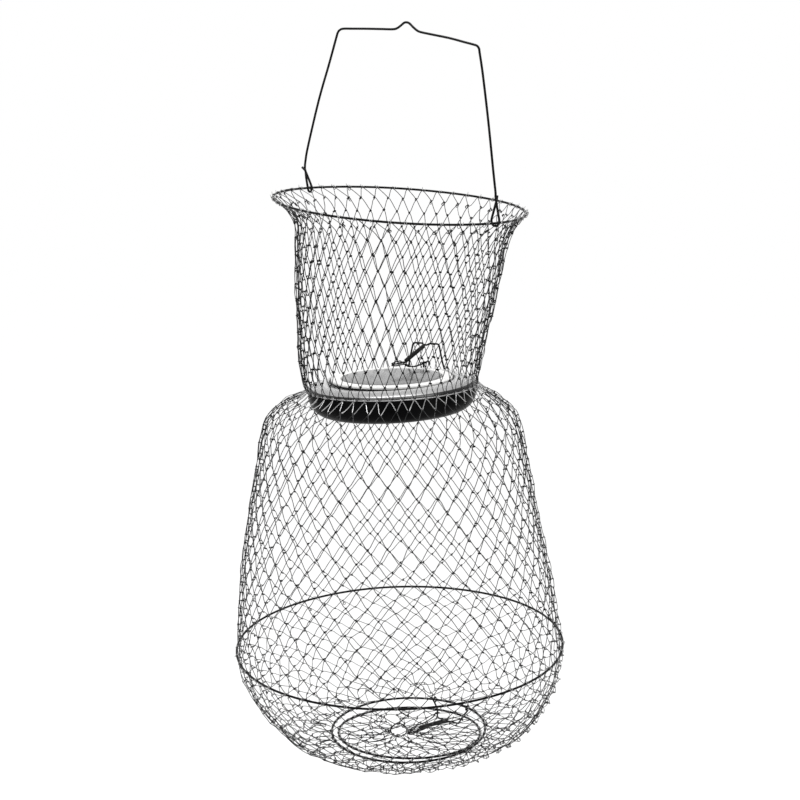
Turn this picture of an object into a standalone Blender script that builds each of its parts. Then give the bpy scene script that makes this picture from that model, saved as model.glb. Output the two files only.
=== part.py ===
# Collapsible floating fish basket, hung by its wire bail.
# The origin is the middle of the wire at the top of the bail's hump. Z is up and X runs along the bail's pivots.
# Lengths are in metres and angles in degrees.

import math

import bmesh
import bpy
from mathutils import Matrix, Vector

# Sizes of the rings and the float
MOUTH_RADIUS = 0.176
HOOP_RADIUS = 0.240
BOTTOM_RADIUS = 0.1145
SEAT_RADIUS = 0.088
RING_WIRE = 0.0016
SEAT_WIRE = 0.0013
FLOAT_RIM_WIDTH = 0.032
FLOAT_BORE_INSET = 0.010
FLOAT_CROWN = 0.0103
FLOAT_DEPTH = 0.0355

# Heights of the rings, each below the one before
NECK_HEIGHT = 0.260
BODY_HEIGHT = 0.389
BOWL_HEIGHT = 0.1375

# How far each tier hangs off the axis, in X and Y, and how it tips: by how much and towards which side
FLOAT_SHIFT = (-0.0080, -0.0076)
BOTTOM_SHIFT = (0.0094, 0.0089)
MOUTH_TIP = (3.67, 43.5)
FLOAT_TIP = (4.98, 172.0)
HOOP_TIP = (1.60, 223.5)
BOTTOM_TIP = (1.45, 223.5)

# Bail
BAIL_WIRE = 0.0015
BAIL_RISE = 0.2504
BAIL_SHOULDER_INSET = 0.0434
BAIL_SHOULDER_CUT = 0.007
BAIL_LEAN = 0.0125
BAIL_BACK_TIP = 4.0
CROWN_FALL = 0.0085
HUMP_HEIGHT = 0.0105
HUMP_WIDTH = 0.050
HUMP_TOP_WIDTH = 0.010
HUMP_OFFSET = 0.0155
EYE_LENGTH = 0.038
EYE_WIDTH = 0.015
EYE_BASE_WIDTH = 0.0083
EYE_SIDE_HEIGHT = 0.0090
EYE_END_HEIGHT = 0.030
EYE_LEAN = 0.0074
EYE_END_GAP = 0.0010
BAIL_BEND = 0.0049

# Doors and their grips
LID_SIDE = 95.5
DOOR_SIDE = 97.0
GRIP_WIRE = 0.0013
LEVER_WIRE = 0.0009
CLIP_WIRE = 0.0007
CLIP_INSET = 0.0125
CLIP_SPREAD = 0.93
CLIP_ROOM = 0.0010
CLIP_BEND = 0.0010
ARCH_BEND = 0.0039
NOTCH_WIDTH = 0.0078
NOTCH_MOUTH = 0.0125
EYE_RADIUS = 0.0032
EYE_START = 300.0
EYE_SWEEP = 297.0
STRAND_CONVERGE = 0.72
STRAND_MIDDLE = 0.55
FINGER_LOOP_LENGTH = 0.018
FINGER_LOOP_RADIUS = 0.0045
LID_RIM_WIDTH = 0.014
LID_RIM_HEIGHT = 0.0050
LID_PANEL_HEIGHT = 0.0035
LID_CROWN = 0.0025
LID_ARCH = dict(height=0.038, half_width=0.0235, foot_angle=22.0, knee_drop=0.012, knee_lean=0.0003,
                corner_inset=0.0045, notch_inset=0.007, notch_depth=0.002)
DOOR_ARCH = dict(height=0.025, half_width=0.020, foot_angle=14.5, knee_drop=0.014, knee_lean=0.003,
                 corner_inset=0.013, notch_inset=0.016, notch_depth=0.001)
LID_LEVER = dict(eye_drop=0.010, low_run=0.028, low_drop=0.010, loop_start=0.0565, loop_drop=0.0190)
DOOR_LEVER = dict(eye_drop=0.0187, low_run=0.030, low_drop=0.0173, loop_start=0.1040, loop_drop=0.0110)
DOOR_RING_INSET = 0.0089
DOOR_FREE_LIFT = 0.0030

# Outlines of the float and the lid: the float's as parts of its width, from the bore outward, and of its crown
# or depth; the lid rim's as parts of its width, from its outer edge inward, and of its height
FLOAT_TOP_OUTLINE = ((0.0, 0.75), (0.04, 1.0), (0.33, 1.0), (0.62, 0.86), (0.83, 0.58), (0.96, 0.22))
FLOAT_SIDE_OUTLINE = ((1.0, 0.20), (0.97, 0.46), (0.88, 0.71), (0.71, 0.91), (0.48, 1.0), (0.18, 0.96),
                      (0.0, 0.80))
LID_RIM_OUTLINE = ((1.0, 0.3), (0.88, 0.0), (0.286, 0.0), (0.143, 0.2), (0.0, 0.5), (0.12, 0.85), (0.40, 1.0),
                   (0.90, 0.95), (1.0, 0.75))
LID_CROWN_BEND = (0.6, 0.65)

# Springs
SPRING_RADIUS = 0.0026
SPRING_WIRE = 0.0006
LID_SPRING_CURLS = 10
DOOR_SPRING_CURLS = 14
CURL_STEPS = 8

# Nets
STRAND = 0.0008
CELLS_ROUND = 18
NECK_ROWS = 5
BODY_ROWS = 7
BOWL_ROWS = 3
DOOR_NET_ROWS = 2
GATHER_RADIUS = 0.012

# Outlines of the nets: how far down, as a part of the tier's height, and how wide, as a part of the way from
# the upper edge's radius to the lower edge's
NECK_OUTLINE = ((0.0, 0.0), (0.08, 0.29), (0.19, 0.49), (0.39, 0.58), (0.62, 0.71), (0.81, 0.84), (1.0, 1.0))
BODY_OUTLINE = ((0.0, 0.0), (0.03, 0.10), (0.065, 0.31), (0.116, 0.495), (0.18, 0.56), (0.28, 0.63), (0.49, 0.75),
                (0.745, 0.905), (1.0, 1.0))
BOWL_OUTLINE = ((0.0, 0.0), (0.22, 0.02), (0.44, 0.115), (0.66, 0.26), (0.84, 0.44), (0.985, 0.75), (1.0, 1.0))

# Fits
GAP = 0.0003
RING_STEPS = 48
RING_SIDES = 6
WIRE_SIDES = 6
BEND_STEPS = 5
LOOP_STEPS = 8
MIDDLE_HALF_TURN = 1.5
LOOP_CLIMB = 0.4
LOOP_END = 0.9
BEND_SHARE = 0.45


# Start with an empty scene

for old in list(bpy.data.objects):
    bpy.data.objects.remove(old, do_unlink=True)


# Materials

def material(name, colour, roughness, metallic):
    made = bpy.data.materials.new(name)
    made.use_nodes = True
    shader = made.node_tree.nodes["Principled BSDF"]
    shader.inputs["Base Color"].default_value = (*colour, 1.0)
    shader.inputs["Roughness"].default_value = roughness
    shader.inputs["Metallic"].default_value = metallic
    return made


BLACK_WIRE = material("black_wire", (0.012, 0.012, 0.013), 0.42, 0.0)
NET_WIRE = material("net_wire", (0.035, 0.035, 0.037), 0.45, 0.0)
SPRING_STEEL = material("spring_steel", (0.10, 0.10, 0.10), 0.38, 0.9)
FLOAT_TOP = material("float_top_grey", (0.14, 0.14, 0.14), 0.30, 0.0)
FLOAT_BLACK = material("float_black", (0.010, 0.010, 0.011), 0.25, 0.0)
LID_WHITE = material("lid_rim_white", (0.80, 0.80, 0.79), 0.45, 0.0)
LID_GREY = material("lid_panel_grey", (0.38, 0.38, 0.38), 0.40, 0.0)


# Shared shapes

def add_object(name, mesh, look, smooth_below=40.0):
    mesh.materials.append(look)
    made = bpy.data.objects.new(name, mesh)
    bpy.context.scene.collection.objects.link(made)
    mesh.shade_smooth()
    mesh.set_sharp_from_angle(angle=math.radians(smooth_below))
    return made


def tube(name, points, radius, look, closed=False, sides=WIRE_SIDES):
    """Sweep a round wire along points. An open wire gets a flat end at each end."""
    count = len(points)
    mesh = bpy.data.meshes.new(name)
    builder = bmesh.new()
    rows = []
    across = None
    for index, point in enumerate(points):
        before = points[index - 1] if index or closed else point
        after = points[(index + 1) % count] if index < count - 1 or closed else point
        along_in = (point - before).normalized() if point != before else (after - point).normalized()
        along_out = (after - point).normalized() if point != after else along_in
        along = (along_in + along_out).normalized()
        widen = 1.0 / max(0.5, along.dot(along_out))
        if across is None:
            helper = Vector((0, 0, 1)) if abs(along.z) < 0.9 else Vector((1, 0, 0))
            across = along.cross(helper).normalized()
        across = (across - along * across.dot(along)).normalized()
        other = along.cross(across)
        turn = (along_out - along_in)
        row = []
        for side in range(sides):
            angle = 2 * math.pi * side / sides
            offset = radius * (math.cos(angle) * across + math.sin(angle) * other)
            if turn.length > 1e-6:
                inward = turn.normalized()
                offset += inward * offset.dot(inward) * (widen - 1.0)
            row.append(builder.verts.new(point + offset))
        rows.append(row)
    for index in range(count if closed else count - 1):
        first, second = rows[index], rows[(index + 1) % count]
        for side in range(sides):
            following = (side + 1) % sides
            builder.faces.new((first[side], first[following], second[following], second[side]))
    if not closed:
        builder.faces.new(list(reversed(rows[0])))
        builder.faces.new(rows[-1])
    bmesh.ops.recalc_face_normals(builder, faces=builder.faces)
    builder.to_mesh(mesh)
    builder.free()
    return add_object(name, mesh, look)


def circle(radius, steps=RING_STEPS, height=0.0):
    return [Vector((radius * math.cos(a), radius * math.sin(a), height))
            for a in (2 * math.pi * step / steps for step in range(steps))]


def placed(frame, points):
    return [frame @ point for point in points]


def bent(corners, radius, steps=BEND_STEPS):
    """Round each inner corner of a path with an arc."""
    path = [corners[0]]
    for before, corner, after in zip(corners, corners[1:], corners[2:]):
        inward = (before - corner).normalized()
        outward = (after - corner).normalized()
        half = inward.angle(outward) / 2
        reach = radius / math.tan(half)
        reach = min(reach, BEND_SHARE * (before - corner).length, BEND_SHARE * (after - corner).length)
        middle = corner + (inward + outward).normalized() * (reach / math.cos(half))
        start = corner + inward * reach - middle
        end = corner + outward * reach - middle
        sweep = start.angle(end)
        axis = start.cross(end).normalized()
        for step in range(steps + 1):
            path.append(middle + Matrix.Rotation(sweep * step / steps, 3, axis) @ start)
    path.append(corners[-1])
    return path


def lathe(name, frame, outline, look, steps=RING_STEPS):
    """Turn a closed outline of radius and height pairs round the frame's Z. A point at radius 0 is a pole."""
    mesh = bpy.data.meshes.new(name)
    builder = bmesh.new()
    rows = []
    for radius, height in outline:
        if radius == 0.0:
            rows.append([builder.verts.new(frame @ Vector((0, 0, height)))] * steps)
        else:
            rows.append([builder.verts.new(frame @ point) for point in circle(radius, steps, height)])
    pairs = zip(rows, rows[1:] + rows[:1])
    for first, second in pairs:
        for step in range(steps):
            following = (step + 1) % steps
            corners = [first[step], first[following], second[following], second[step]]
            corners = list(dict.fromkeys(corners))
            if len(corners) > 2:
                builder.faces.new(corners)
    bmesh.ops.recalc_face_normals(builder, faces=builder.faces)
    builder.to_mesh(mesh)
    builder.free()
    return add_object(name, mesh, look)


def outline_at(outline, part):
    for (start, low), (end, high) in zip(outline, outline[1:]):
        if part <= end:
            return low + (high - low) * (part - start) / (end - start)
    return outline[-1][1]


def net(name, upper, lower, upper_radius, lower_radius, outline, rows, upper_lift=0.0, lower_lift=0.0):
    """Diamond net between two tiers, as one wire lattice with a strand round each edge."""
    mesh = bpy.data.meshes.new(name)
    builder = bmesh.new()

    def knot(row, half_cells):
        part = row / rows
        radius = upper_radius + (lower_radius - upper_radius) * outline_at(outline, part)
        angle = math.pi * half_cells / CELLS_ROUND
        flat = Vector((radius * math.cos(angle), radius * math.sin(angle), 0.0))
        top = upper @ (flat + Vector((0, 0, upper_lift)))
        bottom = lower @ (flat + Vector((0, 0, lower_lift)))
        return builder.verts.new(top.lerp(bottom, part))

    half_cells = 2 * CELLS_ROUND
    grid = []
    for row in range(rows + 1):
        edge = row in (0, rows)
        grid.append({half: knot(row, half) for half in range(half_cells) if edge or (half + row) % 2})
    for row in range(rows + 1):
        for half in range(half_cells):
            if (half + row) % 2:
                continue
            left = grid[row].get((half - 1) % half_cells)
            right = grid[row].get((half + 1) % half_cells)
            above = grid[row - 1][half] if row else grid[0][half]
            below = grid[row + 1][half] if row < rows else grid[rows][half]
            builder.faces.new((left, below, right, above))
    bmesh.ops.recalc_face_normals(builder, faces=builder.faces)
    builder.to_mesh(mesh)
    builder.free()
    made = add_object(name, mesh, NET_WIRE)
    strands = made.modifiers.new("strands", "WIREFRAME")
    strands.thickness = 2 * STRAND
    strands.offset = 0.0
    strands.use_boundary = True
    strands.use_even_offset = True
    strands.use_replace = True
    return made


# Tiers: each is a plane through the middle of its ring

def tier(centre, tip):
    amount, side = (math.radians(value) for value in tip)
    axis = Vector((-math.sin(side), math.cos(side), 0.0))
    return Matrix.Translation(centre) @ Matrix.Rotation(amount, 4, axis)


mouth_slope = math.atan(math.tan(math.radians(MOUTH_TIP[0])) * math.cos(math.radians(MOUTH_TIP[1])))
bail_turn = Matrix.Rotation(-math.radians(BAIL_BACK_TIP), 4, "X") @ Matrix.Rotation(mouth_slope, 4, "Y")
pivot_middle = bail_turn @ Vector((HUMP_OFFSET, 0.0, -BAIL_RISE))
bail_frame = Matrix.Translation(pivot_middle) @ bail_turn
bend_to_ring = BAIL_WIRE + GAP + RING_WIRE

mouth = tier(pivot_middle + Vector((0.0, 0.0, bend_to_ring)), MOUTH_TIP)
float_centre = mouth.translation + Vector((FLOAT_SHIFT[0], FLOAT_SHIFT[1], -NECK_HEIGHT))
float_tier = tier(float_centre, FLOAT_TIP)
hoop_centre = mouth.translation - Vector((0.0, 0.0, NECK_HEIGHT + BODY_HEIGHT))
hoop = tier(hoop_centre, HOOP_TIP)
bottom_centre = hoop_centre + Vector((BOTTOM_SHIFT[0], BOTTOM_SHIFT[1], -BOWL_HEIGHT))
bottom = tier(bottom_centre, BOTTOM_TIP)


# Bail: one wire, bent into a hump in the middle and a three-cornered eye at each end

def bail_half(side):
    """Corners from the hump to the eye's end, in the bail's own plane. Crown and legs lean to one side."""
    pivot = MOUTH_RADIUS * math.cos(mouth_slope) * side
    crown = BAIL_RISE - HUMP_HEIGHT
    beside_hump = Vector((0.5 * side * HUMP_WIDTH - HUMP_OFFSET, 0.0, crown))
    shoulder = Vector((side * (MOUTH_RADIUS - BAIL_SHOULDER_INSET) - BAIL_LEAN, 0.0, crown - CROWN_FALL))
    apex = Vector((pivot + side * EYE_LEAN - BAIL_LEAN, 0.0, EYE_LENGTH))
    end_lean = (apex.x - pivot) * EYE_END_HEIGHT / EYE_LENGTH
    end_inset = side * (2 * BAIL_WIRE + EYE_END_GAP)
    half_eye = 0.5 * side * EYE_WIDTH
    half_base = 0.5 * side * EYE_BASE_WIDTH
    return [Vector((0.5 * side * HUMP_TOP_WIDTH - HUMP_OFFSET, 0.0, BAIL_RISE)),
            beside_hump,
            shoulder + (beside_hump - shoulder).normalized() * BAIL_SHOULDER_CUT,
            shoulder + (apex - shoulder).normalized() * BAIL_SHOULDER_CUT,
            apex,
            Vector((pivot + half_eye, 0.0, EYE_SIDE_HEIGHT)),
            Vector((pivot + half_base, 0.0, 0.0)),
            Vector((pivot - half_base, 0.0, 0.0)),
            Vector((pivot - half_eye, 0.0, EYE_SIDE_HEIGHT)),
            Vector((pivot + end_lean - end_inset, 0.0, EYE_END_HEIGHT))]


left = bent(bail_half(-1), BAIL_BEND, 3)
right = bent(bail_half(1), BAIL_BEND, 3)
tube("bail_handle", placed(bail_frame, list(reversed(left)) + right), BAIL_WIRE, BLACK_WIRE)


# Rings

tube("mouth_ring", placed(mouth, circle(MOUTH_RADIUS)), RING_WIRE, BLACK_WIRE, closed=True, sides=RING_SIDES)
tube("belly_hoop", placed(hoop, circle(HOOP_RADIUS)), RING_WIRE, BLACK_WIRE, closed=True, sides=RING_SIDES)
tube("bottom_ring", placed(bottom, circle(BOTTOM_RADIUS)), RING_WIRE, BLACK_WIRE, closed=True, sides=RING_SIDES)


# Float: two moulded halves that meet at the seam, with the seat ring on top

float_radius = SEAT_RADIUS + FLOAT_RIM_WIDTH
bore_radius = SEAT_RADIUS - FLOAT_BORE_INSET
float_width = float_radius - bore_radius
half_seam = GAP / 2

lathe("float_upper", float_tier,
      [(bore_radius, half_seam)]
      + [(bore_radius + across * float_width, up * FLOAT_CROWN) for across, up in FLOAT_TOP_OUTLINE]
      + [(float_radius, half_seam)], FLOAT_TOP)
lathe("float_lower", float_tier,
      [(bore_radius, -half_seam), (float_radius, -half_seam)]
      + [(bore_radius + across * float_width, -down * FLOAT_DEPTH) for across, down in FLOAT_SIDE_OUTLINE],
      FLOAT_BLACK)

seat_height = FLOAT_CROWN + GAP + SEAT_WIRE
seat = float_tier @ Matrix.Translation((0, 0, seat_height))
tube("seat_ring", placed(seat, circle(SEAT_RADIUS)), SEAT_WIRE, BLACK_WIRE, closed=True, sides=RING_SIDES)


# Lid: a rounded rim round a crowned panel

rim_outer = SEAT_RADIUS - SEAT_WIRE - GAP
rim_inner = rim_outer - LID_RIM_WIDTH
rim_base = GAP - (seat_height - FLOAT_CROWN)
lathe("lid_rim", seat,
      [(rim_outer - inward * LID_RIM_WIDTH, rim_base + up * LID_RIM_HEIGHT) for inward, up in LID_RIM_OUTLINE],
      LID_WHITE)
panel_radius = rim_inner - GAP
panel_top = rim_base + LID_RIM_HEIGHT
lathe("lid_panel", seat, [
    (0.0, panel_top - LID_PANEL_HEIGHT),
    (panel_radius, panel_top - LID_PANEL_HEIGHT),
    (panel_radius, panel_top),
    (LID_CROWN_BEND[0] * panel_radius, panel_top + LID_CROWN_BEND[1] * LID_CROWN),
    (0.0, panel_top + LID_CROWN)], LID_GREY)


# Grips: an arch fixed on a ring, a lever hooked round the arch's legs and a spring between them.
# In a grip's frame X runs inward from the ring, Y along the ring and Z away from the basket.

SEAT = (SEAT_RADIUS, SEAT_WIRE)
DOOR_SEAT = (BOTTOM_RADIUS, RING_WIRE)


def grip_frame(ring_frame, ring_radius, side, upward):
    turn = Matrix.Rotation(math.radians(side), 4, "Z")
    out = Matrix.Translation((ring_radius, 0, 0))
    flip = Matrix.Diagonal((-1.0, -1.0, 1.0, 1.0)) if upward else Matrix.Diagonal((-1.0, 1.0, -1.0, 1.0))
    return ring_frame @ turn @ out @ flip


def inset_at(ring_radius, along):
    return ring_radius - math.sqrt(ring_radius ** 2 - along ** 2)


def arch_corners(arch, ring):
    """Half of the arch, from its foot on the ring to its notch. The ring is its radius and its wire's."""
    ring_radius, ring_wire = ring
    foot = ring_radius * math.sin(math.radians(arch["foot_angle"]))
    foot_inset = inset_at(ring_radius, foot)
    knee_part = arch["knee_drop"] / arch["height"]
    knee = foot + (arch["half_width"] - foot) * knee_part
    notch = 0.5 * NOTCH_WIDTH
    return [Vector((foot_inset, foot, ring_wire + GAP)),
            Vector((foot_inset + arch["knee_lean"], knee, arch["knee_drop"])),
            Vector((arch["corner_inset"], arch["half_width"], arch["height"])),
            Vector((arch["corner_inset"], 0.5 * NOTCH_MOUTH, arch["height"])),
            Vector((arch["notch_inset"], notch, arch["height"] - arch["notch_depth"]))]


def mirrored(points):
    return [Vector((point.x, -point.y, point.z)) for point in points]


def leg_point(arch, ring, height):
    """Where the arch's leg is at a height, and which way it runs."""
    corners = arch_corners(arch, ring)
    for low, high in zip(corners, corners[1:3]):
        if low.z <= height <= high.z:
            part = (height - low.z) / (high.z - low.z)
            return low.lerp(high, part), (high - low).normalized()
    return corners[1], (corners[2] - corners[1]).normalized()


def arch_wire(name, frame, arch, ring):
    half = arch_corners(arch, ring)
    path = half + list(reversed(mirrored(half)))
    return tube(name, placed(frame, bent(path, ARCH_BEND, 4)), GRIP_WIRE, BLACK_WIRE)


def lever_wire(name, frame, arch, lever, ring):
    """Eye round one leg, strand to the finger loop, one and a half turns, and back to the other leg."""
    eye, leg = leg_point(arch, ring, lever["eye_drop"])
    inward = (Vector((1, 0, 0)) - leg * leg.x).normalized()
    outward_along = leg.cross(inward)
    strand_start = []
    for step in range(LOOP_STEPS + 1):
        angle = math.radians(EYE_START - EYE_SWEEP * step / LOOP_STEPS)
        strand_start.append(eye + EYE_RADIUS * (math.cos(angle) * inward - math.sin(angle) * outward_along))
    loop_front = lever["loop_start"] + FINGER_LOOP_RADIUS
    loop_back = loop_front + FINGER_LOOP_LENGTH
    strand = [Vector((lever["low_run"], STRAND_CONVERGE * eye.y, lever["low_drop"])),
              Vector((0.5 * (lever["low_run"] + loop_front), STRAND_MIDDLE * STRAND_CONVERGE * eye.y,
                      0.5 * (lever["low_drop"] + lever["loop_drop"])))]
    loop = []
    turn_pitch = 2 * (LEVER_WIRE + GAP)
    for half_turn in range(3):
        back = half_turn % 2 == 0
        for step in range(LOOP_STEPS + 1):
            angle = math.pi * step / LOOP_STEPS
            centre = loop_back if back else loop_front
            way = 1 if back else -1
            climb = LOOP_CLIMB * (step / LOOP_STEPS - 0.5)
            rise = turn_pitch * (half_turn + 0.5 + climb - MIDDLE_HALF_TURN) / 2
            loop.append(Vector((centre + way * FINGER_LOOP_RADIUS * math.sin(angle),
                                way * FINGER_LOOP_RADIUS * math.cos(angle), lever["loop_drop"] + rise)))
    entry = Vector((loop_front, FINGER_LOOP_RADIUS, lever["loop_drop"] - LOOP_END * turn_pitch))
    leave = Vector((loop_front, -FINGER_LOOP_RADIUS, lever["loop_drop"] + LOOP_END * turn_pitch))
    ending = mirrored(strand)
    path = strand_start + strand + [entry] + loop + [leave] + list(reversed(ending))
    path += list(reversed(mirrored(strand_start)))
    return tube(name, placed(frame, path), LEVER_WIRE, BLACK_WIRE)


def spring_wire(name, frame, arch, lever, curls):
    """Wound wire from the arch's notch to the finger loop. Its ends run in to its own axis."""
    seat_point = Vector((arch["notch_inset"], 0.0, arch["height"] - arch["notch_depth"]))
    loop_point = Vector((lever["loop_start"], 0.0, lever["loop_drop"]))
    along = (loop_point - seat_point).normalized()
    start = seat_point + along * (GRIP_WIRE + GAP)
    end = loop_point - along * (LEVER_WIRE + GAP)
    leg = 2 * SPRING_WIRE
    across = along.cross(Vector((0, 1, 0))).normalized()
    other = along.cross(across)
    steps = CURL_STEPS
    total = curls * steps
    length = (end - start).length - 2 * leg
    path = [start]
    for step in range(total + 1):
        ramp = min(1.0, 2.0 * step / steps, 2.0 * (total - step) / steps)
        angle = 2 * math.pi * step / steps
        reach = start + along * (leg + length * step / total)
        path.append(reach + SPRING_RADIUS * ramp * (math.cos(angle) * across + math.sin(angle) * other))
    path.append(end)
    pairs = [(first, second) for first in range(len(path)) for second in range(first + steps - 2, len(path))]
    nearest = min((path[first] - path[second]).length for first, second in pairs)
    print(name, "least gap to itself in mm:", round((nearest - 2 * SPRING_WIRE) * 1000, 2))
    return tube(name, placed(frame, path), SPRING_WIRE, SPRING_STEEL)


def clip_wire(name, frame, arch, lever, base, side):
    """Staple over one strand of the lever, with both feet on the lid's rim."""
    eye, leg = leg_point(arch, SEAT, lever["eye_drop"])
    middle = Vector((CLIP_INSET, CLIP_SPREAD * eye.y * side, 0.0))
    strand = Vector((lever["low_run"] - eye.x, (STRAND_CONVERGE - 1.0) * eye.y * side, 0.0)).normalized()
    span = strand.cross(Vector((0, 0, 1))) * (LEVER_WIRE + CLIP_ROOM + CLIP_WIRE)
    top = Vector((0.0, 0.0, lever["eye_drop"] + LEVER_WIRE + GAP + CLIP_WIRE))
    foot = Vector((0.0, 0.0, base))
    corners = [middle - span + foot, middle - span + top, middle + span + top, middle + span + foot]
    return tube(name, placed(frame, bent(corners, CLIP_BEND, 2)), CLIP_WIRE, BLACK_WIRE)


lid_grip = grip_frame(seat, SEAT_RADIUS, LID_SIDE, True)
arch_wire("lid_arch", lid_grip, LID_ARCH, SEAT)
lever_wire("lid_lever", lid_grip, LID_ARCH, LID_LEVER, SEAT)
spring_wire("lid_spring", lid_grip, LID_ARCH, LID_LEVER, LID_SPRING_CURLS)

clip_base = rim_base + LID_RIM_HEIGHT + GAP
clip_wire("lid_clip_left", lid_grip, LID_ARCH, LID_LEVER, clip_base, -1)
clip_wire("lid_clip_right", lid_grip, LID_ARCH, LID_LEVER, clip_base, 1)

door_grip = grip_frame(bottom, BOTTOM_RADIUS, DOOR_SIDE, False)
arch_wire("door_arch", door_grip, DOOR_ARCH, DOOR_SEAT)
lever_wire("door_lever", door_grip, DOOR_ARCH, DOOR_LEVER, DOOR_SEAT)
spring_wire("door_spring", door_grip, DOOR_ARCH, DOOR_LEVER, DOOR_SPRING_CURLS)


# Door: its ring hangs lower at the hinge than at the free side

door_radius = BOTTOM_RADIUS - DOOR_RING_INSET
hinge_drop = DOOR_LEVER["low_drop"] - LEVER_WIRE - GAP - RING_WIRE
door_slope = math.degrees(math.asin((hinge_drop + DOOR_FREE_LIFT) / (2 * door_radius)))
door = bottom @ tier(Vector((0, 0, (DOOR_FREE_LIFT - hinge_drop) / 2)), (door_slope, DOOR_SIDE))
tube("door_ring", placed(door, circle(door_radius)), RING_WIRE, BLACK_WIRE, closed=True, sides=RING_SIDES)
tube("gather_ring", placed(door, circle(GATHER_RADIUS, 20)), LEVER_WIRE, BLACK_WIRE, closed=True)


# Nets

inside_mouth = MOUTH_RADIUS - RING_WIRE - GAP - STRAND
inside_hoop = HOOP_RADIUS - RING_WIRE - GAP - STRAND
round_float = float_radius + GAP + STRAND
round_bottom = BOTTOM_RADIUS + RING_WIRE + GAP + STRAND
inside_door = door_radius - RING_WIRE - GAP - STRAND
round_gather = GATHER_RADIUS + LEVER_WIRE + GAP + STRAND
half_step = STRAND + GAP

net("neck_net", mouth, float_tier, inside_mouth, round_float, NECK_OUTLINE, NECK_ROWS, lower_lift=half_step)
net("body_net", float_tier, hoop, round_float, inside_hoop, BODY_OUTLINE, BODY_ROWS, -half_step, half_step)
net("bowl_net", hoop, bottom, inside_hoop, round_bottom, BOWL_OUTLINE, BOWL_ROWS, upper_lift=-half_step)
net("door_net", door, door, inside_door, round_gather, ((0.0, 0.0), (1.0, 1.0)), DOOR_NET_ROWS)
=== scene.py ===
# %% [markdown]
# # A floating wire fish basket
# The basket hangs from its bail: a net of black wire on four rings, pinched in at a black float.
# A sprung lid closes the float from above, and a sprung door closes the bottom.
# Each cell below makes one group of pieces and says why it is built that way.

import math
import random

import bmesh
import bpy
from mathutils import Matrix, Vector


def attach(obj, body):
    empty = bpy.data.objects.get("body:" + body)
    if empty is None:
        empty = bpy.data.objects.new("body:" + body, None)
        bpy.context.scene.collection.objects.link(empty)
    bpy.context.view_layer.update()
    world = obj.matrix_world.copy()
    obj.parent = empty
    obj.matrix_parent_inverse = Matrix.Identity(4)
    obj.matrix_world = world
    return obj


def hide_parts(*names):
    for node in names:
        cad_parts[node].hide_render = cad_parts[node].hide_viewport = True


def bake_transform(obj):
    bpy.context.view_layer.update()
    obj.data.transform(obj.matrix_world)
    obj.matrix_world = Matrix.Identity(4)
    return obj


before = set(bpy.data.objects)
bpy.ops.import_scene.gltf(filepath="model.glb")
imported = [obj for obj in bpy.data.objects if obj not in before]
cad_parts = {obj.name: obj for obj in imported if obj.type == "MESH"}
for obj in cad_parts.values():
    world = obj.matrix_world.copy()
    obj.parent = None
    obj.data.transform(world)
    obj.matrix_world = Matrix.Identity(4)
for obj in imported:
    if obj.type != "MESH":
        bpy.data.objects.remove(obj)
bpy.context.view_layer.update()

# %% [markdown]
# Every ring hangs a little crooked, as wire baskets do, so each tier gets its own plane.
# A tier is a matrix: where the ring's middle is, and how far it tips towards which side.
# RIGHT and VIEW are the picture's own directions: to its right, and out towards the viewer.
# The seat ring with its lid, and the door, sit a little askew, so each gets a small roll of its own.

# %% Tiers
MOUTH_R, HOOP_R, BOTTOM_R, SEAT_R = 0.176, 0.240, 0.1145, 0.088
DOOR_R = 0.1056
WIRE = 0.0016
SEAT_WIRE = 0.0013
MOUTH = Vector((0.00385, -0.0175, -0.24684))


def tier(centre, tip, side):
    """A ring's plane round centre, tipped down by tip degrees at the angle side, in degrees from X."""
    axis = Vector((-math.sin(math.radians(side)), math.cos(math.radians(side)), 0.0))
    return Matrix.Translation(centre) @ Matrix.Rotation(math.radians(tip), 4, axis)


mouth = tier(MOUTH, 3.67, 43.5)
float_tier = tier(MOUTH + Vector((-0.0080, -0.0076, -0.260)), 4.98, 172.0)
hoop = tier(MOUTH + Vector((0, 0, -0.649)), 1.60, 223.5)
bottom = tier(MOUTH + Vector((0.0094, 0.0089, -0.7865)), 1.45, 223.5)
seat = float_tier @ Matrix.Translation((0, 0, 0.0119))
RIGHT = Vector((math.cos(math.radians(43.5)), math.sin(math.radians(43.5)), 0.0))
VIEW = Vector((math.cos(math.radians(-46.5)), math.sin(math.radians(-46.5)), 0.0))
rolled_seat = seat @ Matrix.Rotation(math.radians(-1.35), 4, VIEW)
door_shift = RIGHT * 0.0013 + Vector((0, 0, 0.0008))
door = bottom @ tier(Vector((0, 0, -0.00575)), 4.754, 97.0)
door = door @ Matrix.Translation(door_shift) @ Matrix.Rotation(math.radians(1.3), 4, VIEW)
print("tiers from", round(mouth.translation.z, 3), "down to", round(bottom.translation.z, 3))

# %% [markdown]
# Nearly every piece is a bent round wire. One helper sweeps a circle along a path.
# It carries its sideways direction from point to point, so the wire never twists on itself.

# %% Wire helper


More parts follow.
